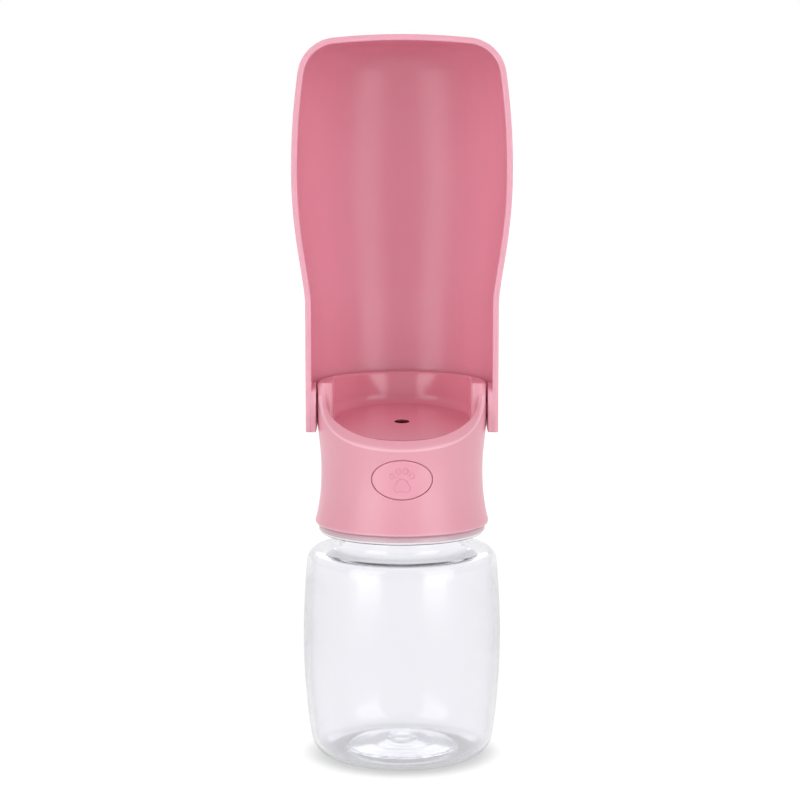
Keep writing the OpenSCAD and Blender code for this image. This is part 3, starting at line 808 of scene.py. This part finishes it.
def plastic(name, colour, shade, roughness, grain=0.006, subsurface=0.0):
    """Moulded plastic: a faint cloudiness in its colour, uneven gloss and a very fine skin."""
    material, nodes, links = new_material(name)
    shader = nodes["Principled BSDF"]
    cloud = noise(nodes, links, COLOUR_SCALE)
    cloudy = mix(nodes, links, cloud, srgb(colour), srgb(shade), "RGBA")
    links.new(cloudy, shader.inputs["Base Color"])
    uneven = noise(nodes, links, GLOSS_SCALE)
    gloss = blend_values(nodes, links, uneven, roughness * 0.88, roughness * 1.12)
    links.new(gloss, shader.inputs["Roughness"])
    shader.inputs["IOR"].default_value = PLASTIC_IOR
    if subsurface:
        shader.inputs["Subsurface Weight"].default_value = subsurface
        shader.inputs["Subsurface Radius"].default_value = SUBSURFACE_RADIUS
        shader.inputs["Subsurface Scale"].default_value = SUBSURFACE_SCALE
    bump(nodes, links, noise(nodes, links, SKIN_SCALE, 2.0), shader, grain, 0.3)
    return material


def shade_and_polish_bowl(material, colour, polish):
    """The bowl is painted a deeper pink as painted shade, darkest towards the back, and is smoother than
    the rest, up to the hinge blocks and the lip.
    """
    nodes, links = material.node_tree.nodes, material.node_tree.links
    side, y, z, r = places(nodes, links)
    inside = fade_mm(nodes, links, r, BOWL_R + 0.15, BOWL_R + 0.45)
    above = fade_mm(nodes, links, z, *BOWL_LOW_Z, 0, 1)
    middle = fade_mm(nodes, links, side, BLOCK_X - 0.3, BLOCK_X + 0.1)
    front = fade_mm(nodes, links, y, BLOCK_FRONT - 0.8, BLOCK_FRONT - 0.2)
    either = calc(nodes, links, "MAXIMUM", middle, front)
    bowl = product(nodes, links, inside, above, either)
    # painted shade, deepest at the back of the bowl
    shade_depth = fade_mm(nodes, links, y, *BOWL_SHADE_Y, 0.1, 1)
    recolour(material, product(nodes, links, bowl, shade_depth), colour)
    rough = nodes["Principled BSDF"].inputs["Roughness"]
    links.new(mix(nodes, links, bowl, rough.links[0].from_socket, polish), rough)


def paint_edge_highlights(material, colour):
    """Painted highlights: a light line along the lip's outer edge and a light band along the skirt's lower
    edge.
    """
    nodes, links = material.node_tree.nodes, material.node_tree.links
    _, y, z, r = places(nodes, links)
    turned = calc(nodes, links, "MULTIPLY", y, calc(nodes, links, "DIVIDE", LIP_OUTER_R * MM, r))
    ahead = calc(nodes, links, "SUBTRACT", turned, LIP_OUTER_CENTRE[0] * MM)
    square = calc(nodes, links, "MULTIPLY", ahead, ahead)
    drop = calc(nodes, links, "SQRT", calc(nodes, links, "SUBTRACT", (LIP_ARC * MM) ** 2, square))
    over = calc(nodes, links, "SUBTRACT", z, (LIP_OUTER_CENTRE[1] - 0.2) * MM)
    gap = calc(nodes, links, "ABSOLUTE", calc(nodes, links, "ADD", over, drop))
    line = fade_mm(nodes, links, gap, 0, 0.75)
    outside = fade_mm(nodes, links, r, LIP_OUTER_R - 1.3, LIP_OUTER_R - 0.8, 0, 1)
    front = fade_mm(nodes, links, y, BLOCK_FRONT - 1, BLOCK_FRONT)
    lip = product(nodes, links, line, outside, front)
    skirt = fade_mm(nodes, links, z, HEAD_BASE + 0.3, HEAD_BASE + 1.1, 0.6, 0)
    recolour(material, calc(nodes, links, "MAXIMUM", lip, skirt), colour)


def recolour_inside(material, radius, margin, colour):
    """Changes the colour of what lies nearer to the bottle's axis than a radius."""
    nodes, links = material.node_tree.nodes, material.node_tree.links
    r = places(nodes, links)[3]
    inside = fade_mm(nodes, links, r, radius - margin, radius + margin)
    recolour(material, inside, colour)


def paint_rim_light(material, colour):
    """The trough's front edge is painted a lighter pink: painted light for the sheen on it and the light
    through its thin plastic.
    """
    nodes, links = material.node_tree.nodes, material.node_tree.links
    y = places(nodes, links)[1]
    recolour(material, fade_mm(nodes, links, y, 0.7 - TROUGH_FRONT, 1.9 - TROUGH_FRONT), colour)


def clear_plastic(name, colour, edge_shade_colour, roughness=0.08):
    """Clear plastic that lets lamps through, with painted shade in a darker grey where it is seen edge on.

    Its skin has slow waves, and the side where a hand holds it is duller than the base and the neck.
    """
    material, nodes, links = new_material(name)
    shader = nodes["Principled BSDF"]
    shade = srgb([c - 2 for c in colour])
    tint = mix(nodes, links, noise(nodes, links, 30), srgb(colour), shade, "RGBA")
    # painted shade: a darker grey where the surface is seen edge on
    edge = nodes.new("ShaderNodeLayerWeight")
    edge.inputs["Blend"].default_value = 0.5
    steep = calc(nodes, links, "POWER", edge.outputs["Facing"], CLEAR_EDGE_POWER)
    rim = mix(nodes, links, steep, tint, srgb(edge_shade_colour), "RGBA")
    links.new(rim, shader.inputs["Base Color"])
    height = places(nodes, links)[2]
    handled = fade_mm(nodes, links, height, *DULL_START, roughness, DULL_GAIN * roughness)
    above = fade_mm(nodes, links, height, *DULL_END, 0, 1)
    dull = mix(nodes, links, above, handled, roughness)
    uneven = blend_values(nodes, links, noise(nodes, links, 120), 0.75, 1.25)
    links.new(product(nodes, links, dull, uneven), shader.inputs["Roughness"])
    shader.inputs["IOR"].default_value = CLEAR_IOR
    shader.inputs["Transmission Weight"].default_value = 1.0
    bump(nodes, links, noise(nodes, links, 60, 1.0), shader, 0.05, 0.3)
    clear = nodes.new("ShaderNodeBsdfTransparent")
    clear.inputs["Color"].default_value = srgb((246, 246, 248))
    shadow = nodes.new("ShaderNodeLightPath").outputs["Is Shadow Ray"]
    surface = mix_shaders(nodes, links, shadow, shader.outputs["BSDF"], clear.outputs["BSDF"])
    links.new(surface, nodes["Material Output"].inputs["Surface"])
    return material


def banded(name, edges, colours, roughness, soft=0.12):
    """Moulded plastic whose colour changes at the given heights, from low to high."""
    material = plastic(name, colours[0], colours[0], roughness, subsurface=0.2)
    nodes, links = material.node_tree.nodes, material.node_tree.links
    low, high = edges[0] - 1, edges[-1] + 1
    height = remap(nodes, links, places(nodes, links)[2], (low * MM, high * MM), (0, 1))
    ramp = nodes.new("ShaderNodeValToRGB")
    links.new(height, ramp.inputs["Fac"])
    stops = ramp.color_ramp.elements
    stops[0].color = srgb(colours[0])
    stops[1].color = srgb(colours[-1])
    for edge, below, above in zip(edges, colours, colours[1:]):
        for at, colour in ((edge - soft, below), (edge + soft, above)):
            stops.new((at - low) / (high - low)).color = srgb(colour)
    links.new(ramp.outputs["Color"], nodes["Principled BSDF"].inputs["Base Color"])
    return material


def steel(name):
    """Drawn stainless wire: fine streaks in its colour and its gloss."""
    material, nodes, links = new_material(name)
    shader = nodes["Principled BSDF"]
    streak = noise(nodes, links, STREAK_SCALE)
    shades = srgb((196, 198, 202)), srgb((170, 172, 178))
    links.new(mix(nodes, links, streak, *shades, "RGBA"), shader.inputs["Base Color"])
    links.new(blend_values(nodes, links, streak, 0.18, 0.34), shader.inputs["Roughness"])
    shader.inputs["Metallic"].default_value = 1.0
    bump(nodes, links, streak, shader, 0.01, 0.4)
    return material


# Stage


def white_for_eye(nodes, links, white, other):
    """White where the camera, a reflection or a clear part looks, and another shader for light."""
    path = nodes.new("ShaderNodeLightPath").outputs
    seen = calc(nodes, links, "MAXIMUM", path["Is Camera Ray"], path["Is Glossy Ray"])
    seen = calc(nodes, links, "MAXIMUM", seen, path["Is Transmission Ray"])
    return mix_shaders(nodes, links, seen, other, white)


def sky(nodes, links, strength=1.0):
    """A white sky with a strength that is a number or a socket."""
    node = nodes.new("ShaderNodeBackground")
    node.inputs["Color"].default_value = (1, 1, 1, 1)
    feed(links, node.inputs["Strength"], strength)
    return node.outputs["Background"]


def make_world(ambient):
    """White to the eye and through clear parts, dim above and behind the camera in reflections."""
    world = bpy.data.worlds.new("studio")
    world.use_nodes = True
    bpy.context.scene.world = world
    nodes, links = world.node_tree.nodes, world.node_tree.links
    nodes.remove(nodes["Background"])
    place = nodes.new("ShaderNodeTexCoord")
    split = nodes.new("ShaderNodeSeparateXYZ")
    links.new(place.outputs["Generated"], split.inputs["Vector"])
    back, up = split.outputs["Y"], split.outputs["Z"]
    surface = sky(nodes, links, fade(nodes, links, up, 0.2, 0.9, ambient, 1.2 * ambient))
    mirrored = sky(nodes, links, fade(nodes, links, back, -0.4, 0.7, 0.3, 1.0))
    through = sky(nodes, links, fade(nodes, links, up, 0.3, 0.9, 1.0, 0.45))
    path = nodes.new("ShaderNodeLightPath").outputs
    surface = mix_shaders(nodes, links, path["Is Glossy Ray"], surface, mirrored)
    surface = mix_shaders(nodes, links, path["Is Transmission Ray"], surface, through)
    surface = mix_shaders(nodes, links, path["Is Camera Ray"], surface, sky(nodes, links))
    links.new(surface, nodes["World Output"].inputs["Surface"])


def matte(nodes, grey):
    """A matte grey shader."""
    node = nodes.new("ShaderNodeBsdfDiffuse")
    node.inputs["Color"].default_value = (grey, grey, grey, 1)
    return node.outputs["BSDF"]


def floor_material(glow):
    """White to the eye with the bottle's soft shadow, and a painted shadow in the glow right under the
    bottle.
    """
    material, nodes, links = new_material("studio_floor")
    nodes.remove(nodes["Principled BSDF"])
    place = nodes.new("ShaderNodeTexCoord")
    far = length_of(nodes, links, place.outputs["Object"])
    open_floor = fade(nodes, links, far, 0.1, 1.2, glow, 1.0)
    # painted shadow: the glow is dimmed right under the bottle
    under = fade_mm(nodes, links, far, 26, 38.5, 0.55, 1.0)
    shine = nodes.new("ShaderNodeEmission")
    links.new(product(nodes, links, open_floor, under), shine.inputs["Strength"])
    both = nodes.new("ShaderNodeAddShader")
    links.new(matte(nodes, 0.14), both.inputs[0])
    links.new(shine.outputs["Emission"], both.inputs[1])
    surface = white_for_eye(nodes, links, both.outputs["Shader"], matte(nodes, 0.9))
    links.new(surface, nodes["Material Output"].inputs["Surface"])
    return material


def make_floor(glow, radius=6.0):
    """A round white floor."""
    bm = bmesh.new()
    bmesh.ops.create_circle(bm, cap_ends=True, segments=96, radius=radius)
    mesh = bpy.data.meshes.new("floor")
    bm.to_mesh(mesh)
    bm.free()
    mesh.materials.append(floor_material(glow))
    floor = show(bpy.data.objects.new("floor", mesh))


def area_lamp(name, location, way, width, height, radiance):
    """A lamp panel that shines against a direction."""
    data = bpy.data.lights.new(name, "AREA")
    data.shape = "RECTANGLE"
    data.size, data.size_y = width, height
    data.energy = radiance * math.pi * width * height
    lamp = show(bpy.data.objects.new(name, data))
    lamp.location = location
    lamp.rotation_euler = (-way).to_track_quat("-Z", "Y").to_euler()
    return lamp


def soft_box(name, azimuth, elevation, distance, width, height, radiance):
    """A large lamp aimed at the bottle. Azimuth 0 is in front, and it grows to the viewer's right."""
    a, e = math.radians(azimuth), math.radians(elevation)
    way = Vector((math.sin(a) * math.cos(e), -math.cos(a) * math.cos(e), math.sin(e)))
    area_lamp(name, LAMP_TARGET + way * distance, way, width, height, radiance)


def glint(name, azimuth, distance, z, width, height, radiance):
    """The lower end of a soft box, low in front, which only shows in reflections."""
    a = math.radians(azimuth)
    way = Vector((math.sin(a), -math.cos(a), 0))
    lamp = area_lamp(name, way * distance + Vector((0, 0, z)), way, width, height, radiance)
    lamp.visible_camera = False
    lamp.visible_diffuse = False
    lamp.visible_transmission = False


def make_camera():
    """The camera of the photograph."""
    data = bpy.data.cameras.new("camera")
    data.sensor_width = 36
    data.lens = LENS
    camera = show(bpy.data.objects.new("camera", data))
    camera.location = CAMERA_PLACE
    camera.rotation_euler = (math.radians(CAMERA_TILT), 0, 0)
    bpy.context.scene.camera = camera


# Build

pink = plastic("pink_head", (238, 168, 184), (236, 164, 180), 0.34, subsurface=0.1)
# painted shade: the bowl is painted a deeper pink, darkest towards the back, and polished smoother
shade_and_polish_bowl(pink, (226, 143, 162), polish=0.14)
# painted shade: the narrow outlet in the bowl's floor is painted dark inside
recolour_inside(pink, OUTLET_R + 0.2, 0.1, (96, 24, 38))
# painted highlights along the lip's outer edge and the skirt's lower edge
paint_edge_highlights(pink, (252, 196, 210))
pink_trough = plastic("pink_trough", (232, 155, 174), (230, 151, 171), 0.32, subsurface=0.1)
# painted light: the trough's front edge is painted lighter
paint_rim_light(pink_trough, (241, 174, 191))
pink_button = plastic("pink_button", (240, 167, 185), (238, 164, 182), 0.32, subsurface=0.1)
clear = clear_plastic("clear_bottle", (247, 247, 250), (120, 121, 134))
# from the collar's lower edge up: a dusky pink line of painted shade, a white band of painted highlight on
# the rounded edge, and the collar's own pale pink under the skirt
collar_bands_with_painted_light = ((150, 108, 130), (252, 250, 250), (214, 186, 197))
milky = banded("milky_collar", (82.95, 83.6), collar_bands_with_painted_light, 0.22)
# painted light: the collar's inside, which lies in shade, is painted near white
recolour_inside(milky, 28.9, 0.3, (250, 248, 250))
white = plastic("white_plastic", (236, 236, 236), (230, 230, 231), 0.35)
rubber = plastic("silicone", (214, 214, 216), (206, 206, 209), 0.55, grain=0.01)
washer = plastic("washer_rubber", (206, 128, 148), (198, 120, 140), 0.5)
metal = steel("steel")

head = field_piece("head_body", head_field, HEAD_GRID, HEAD_KEEP, pink)
button = field_piece("button_cap", button_field, BUTTON_GRID, BUTTON_KEEP, pink_button)
trough = make_trough(pink_trough)
bottle = lathe("bottle_clear", bottle_outline(), clear)
collar = lathe("lock_ring", collar_outline(), milky)

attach(head, "head")
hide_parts("head_shell")
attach(button, "button")
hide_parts("push_button")
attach(trough, "trough")
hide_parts("drinking_trough")
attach(bottle, "bottle")
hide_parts("bottle_body")
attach(collar, "head")
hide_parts("lock_collar")

# both springs ride on the head
for node, axis, travel, anchor_end in (
    ("button_spring", 1, BUTTON_TRAVEL, 1),
    ("valve_spring", 2, VALVE_TRAVEL, 0),
):
    coil = make_coil(node + "_coil", node, axis, metal)
    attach(coil, "head")
    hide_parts(node)
    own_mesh(coil)

node_materials = {
    "neck_gasket": rubber,
    "valve_deck": white,
    "valve_cover": white,
    "stem_seal": rubber,
    "valve_stem": white,
    "valve_plug": rubber,
    "stem_cap": white,
    "outlet_tube": rubber,
    "vent_valve": rubber,
    "button_plate": white,
    "plate_screws": metal,
    "hinge_pin_left": pink_trough,
    "hinge_pin_right": pink_trough,
    "hinge_washer_left": washer,
    "hinge_washer_right": washer,
}
for node, material in node_materials.items():
    for slot in frame["nodes"][node].material_slots:
        slot.material = material

make_world(ambient=0.3)
make_floor(glow=0.89)
for name, side in (("left", -1), ("right", 1)):
    soft_box(name + "_box", 47 * side, 21, distance=1.35, width=0.95, height=1.4, radiance=2.0)
for name, side in (("left", -1), ("right", 1)):
    glint(name + "_glint", 38 * side, distance=0.6, z=0.055, width=0.31, height=0.1, radiance=2.6)
soft_box("back_box", 180, 38, distance=1.35, width=1.3, height=1.0, radiance=2.6)
make_camera()
bpy.context.scene.view_settings.view_transform = "Standard"
# light that runs round inside the clear wall needs many bounces, or its shoulder and foot turn black
bpy.context.scene.cycles.max_bounces = 24
bpy.context.scene.cycles.glossy_bounces = 16
bpy.context.scene.cycles.transmission_bounces = 24
